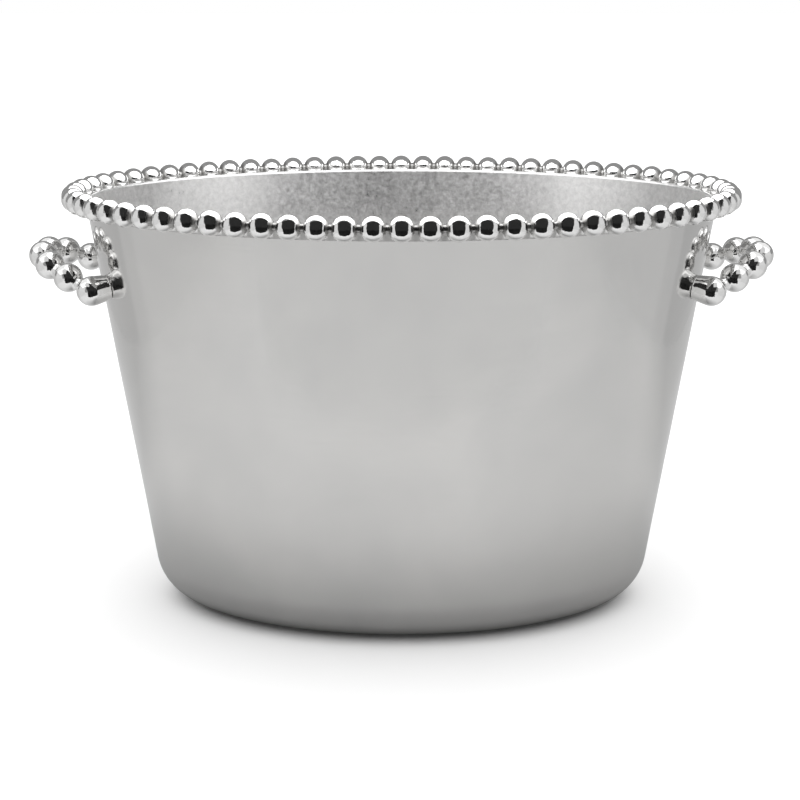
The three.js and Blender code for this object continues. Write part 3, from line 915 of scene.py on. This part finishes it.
def shade_floor(finish):
    """Darkens the floor near the bucket's foot, where its light is cut off, to both sides and behind."""
    from_foot = finish.nodes.new("ShaderNodeVectorMath")
    from_foot.operation = "LENGTH"
    finish.link(finish.stretched((1 / FOOT_HALF_LENGTH, 1 / FOOT_HALF_WIDTH, 0)), from_foot.inputs[0])
    place = finish.across()
    sideways = finish.math("ABSOLUTE", finish.math("ADD", place["X"], -SIDE_SHADE_MIDDLE), 0)
    by_foot = finish.spread(from_foot.outputs["Value"], *FOOT_SHADE, smoothly=True)
    shade = finish.math("MULTIPLY", by_foot, finish.spread(sideways, *SIDE_SHADE))
    shade = finish.math("MULTIPLY", shade, finish.spread(place["Y"], *REAR_SHADE))
    finish.link(shade, finish.shader.inputs["Base Color"])


def backdrop(name, x, y):
    """A pale wall on one side that only the camera sees, so that no horizon shows."""
    finish = plain_finish(name, 0, 1.0)
    finish.material.cycles.emission_sampling = "NONE"
    feet = [((x - y) * BACKDROP_DISTANCE, (y + x) * BACKDROP_DISTANCE),
            ((x + y) * BACKDROP_DISTANCE, (y - x) * BACKDROP_DISTANCE)]
    tops = [(*foot, BACKDROP_DISTANCE) for foot in reversed(feet)]
    corners = [(*foot, 0) for foot in feet] + tops
    flat_stage(name, corners, finish, ("diffuse", "glossy", "transmission", "shadow"))


def reflector(name, corners, grey, emission):
    """A flat card that only reflections see."""
    return flat_stage(name, corners, plain_finish(name, grey, emission), ("camera", "diffuse", "shadow"))


def opening_card(name, right_edge, emission):
    """A card across the front, the same at its left as at its right edge."""
    right = [(x, OPENING_Y, z) for x, z in right_edge]
    left = [(-x, OPENING_Y, z) for x, z in reversed(right_edge)]
    return reflector(name, right + left, OPENING_GREY, emission)


# The camera sees one floor and the metal reflects another, a little less bright.
seen_floor = floor_sheet("pale_floor", 0, plain_finish("pale_floor", SEEN_FLOOR_GREY),
                         ("diffuse", "glossy", "shadow"))
reflected_finish = plain_finish("reflected_floor", REFLECTED_FLOOR_GREY)
shade_floor(reflected_finish)
reflected_floor = floor_sheet("reflected_floor", REFLECTED_FLOOR_HEIGHT, reflected_finish, ("camera",))
for name, x, y in (("right", 1, 0), ("rear", 0, 1), ("left", -1, 0), ("front", 0, -1)):
    backdrop(f"pale_backdrop_{name}", x, y)

opening_card("opening_above", OPENING_TOP_EDGE, OPENING_EMISSION)
opening_below = opening_card("opening_below", OPENING_FOOT_EDGE, OPENING_EMISSION_FOR_WALL)

for side in (-1, 1):
    curtain = [(side * CURTAIN_X, y, z) for y, z in CURTAIN_OUTLINE]
    reflector(f"side_curtain_{side}", curtain, 0, CURTAIN_EMISSION)
    for part, start, end, emission in LOW_WALL_STRETCHES:
        outline = [(start, 0), (end, 0), (end, CURTAIN_FOOT), (start, CURTAIN_FOOT)]
        low_wall = [(side * CURTAIN_X, y, z) for y, z in outline]
        reflector(f"low_side_wall_{part}_{side}", low_wall, 0, emission)


# --- Light ----------------------------------------------------------------------------------------------

WORLD_GREY = 0.29
SEEN_FLOOR_LIGHT = 4.0
REFLECTED_FLOOR_LIGHT = 2.7
OVERCAST_ANGLE = math.radians(110)
ROOF_HEIGHT = BEAD_LINE_HEIGHT + 0.075
SATIN_ROOF_HEIGHT = BEAD_LINE_HEIGHT + 0.15
FILL_HEIGHT = 0.42
FILL_Y = -0.29
DOWN = (0, 0, -1)
REARWARDS = (0, 1, 0)


def group(name, members):
    collection = bpy.data.collections.new(name)
    for member in members:
        collection.objects.link(member)
    return collection


def lamp_for(light, receivers):
    """A lamp that the camera doesn't see and that lights only its receivers."""
    lamp = bpy.data.objects.new(light.name, light)
    bpy.context.scene.collection.objects.link(lamp)
    lamp.visible_camera = False
    lamp.light_linking.receiver_collection = receivers
    return lamp


def overcast(name, strength, receivers):
    """An even light from overhead, for a floor."""
    light = bpy.data.lights.new(name, "SUN")
    light.energy = strength
    light.angle = OVERCAST_ANGLE
    lamp_for(light, receivers)


def panel(name, receivers, centre, size, radiance, facing=DOWN, oval=False):
    """A flat soft light. Its radiance is what a mirror would show."""
    light = bpy.data.lights.new(name, "AREA")
    light.shape = "ELLIPSE" if oval else "RECTANGLE"
    light.size, light.size_y = size
    area = size[0] * size[1] * (math.pi / 4 if oval else 1)
    light.energy = 4 * radiance * area
    lamp = lamp_for(light, receivers)
    lamp.location = centre
    if facing != DOWN:
        lamp.rotation_euler = Vector(facing).to_track_quat("-Z", "Y").to_euler()


world = bpy.data.worlds.new("studio")
world.use_nodes = True
world.node_tree.nodes["Background"].inputs["Color"].default_value = (WORLD_GREY, WORLD_GREY, WORLD_GREY, 1)
bpy.context.scene.world = world

satin = group("satin_receivers", [shell])
handles = group("handle_receivers", handle_pieces)
bright = group("bright_receivers", [beads, *handle_pieces, *fixing_pieces])
overcast("seen_floor_light", SEEN_FLOOR_LIGHT, group("seen_floor_receivers", [seen_floor]))
overcast("reflected_floor_light", REFLECTED_FLOOR_LIGHT,
         group("reflected_floor_receivers", [reflected_floor]))

# The roof over the beads is an oval a little inside the bead line, so that each cap keeps a grey outline.
panel("roof_for_polish", bright, (0, -0.0125, ROOF_HEIGHT), size=(0.42, 0.23), radiance=1.6, oval=True)
panel("roof_for_satin", satin, (0, -0.04, SATIN_ROOF_HEIGHT), size=(0.42, 0.42), radiance=1.4)
panel("fill_for_inside_right", satin, (0.38, FILL_Y, FILL_HEIGHT), size=(0.26, 0.36), radiance=0.5,
      facing=REARWARDS)
panel("fill_for_inside_left", satin, (-0.42, FILL_Y, FILL_HEIGHT), size=(0.24, 0.36), radiance=0.7,
      facing=REARWARDS)
for side in (-1, 1):
    panel(f"roof_for_handle_{side}", handles, (side * 0.30, -0.03, ROOF_HEIGHT), size=(0.24, 0.28),
          radiance=0.5)

# The satin wall would mirror the opening's lower half, so for it alone that half glows as the floor does.
opening_below.light_linking.receiver_collection = satin


# --- Camera ---------------------------------------------------------------------------------------------

# The camera stands in front of the bucket, a little above the rim and looking slightly down at it.
CAMERA_PLACE = (-0.00075, -0.8798, BEAD_LINE_HEIGHT + 0.1151)
CAMERA_PITCH = math.radians(14.52)
CAMERA_LENS = 75.06
SENSOR_WIDTH = 36

camera_data = bpy.data.cameras.new("camera")
camera_data.lens = CAMERA_LENS
camera_data.sensor_width = SENSOR_WIDTH
camera_data.dof.use_dof = False
camera = bpy.data.objects.new("camera", camera_data)
bpy.context.scene.collection.objects.link(camera)
camera.location = CAMERA_PLACE
camera.rotation_euler = (math.pi / 2 - CAMERA_PITCH, 0, 0)
bpy.context.scene.camera = camera
bpy.context.scene.view_settings.view_transform = "Standard"

bpy.context.view_layer.update()
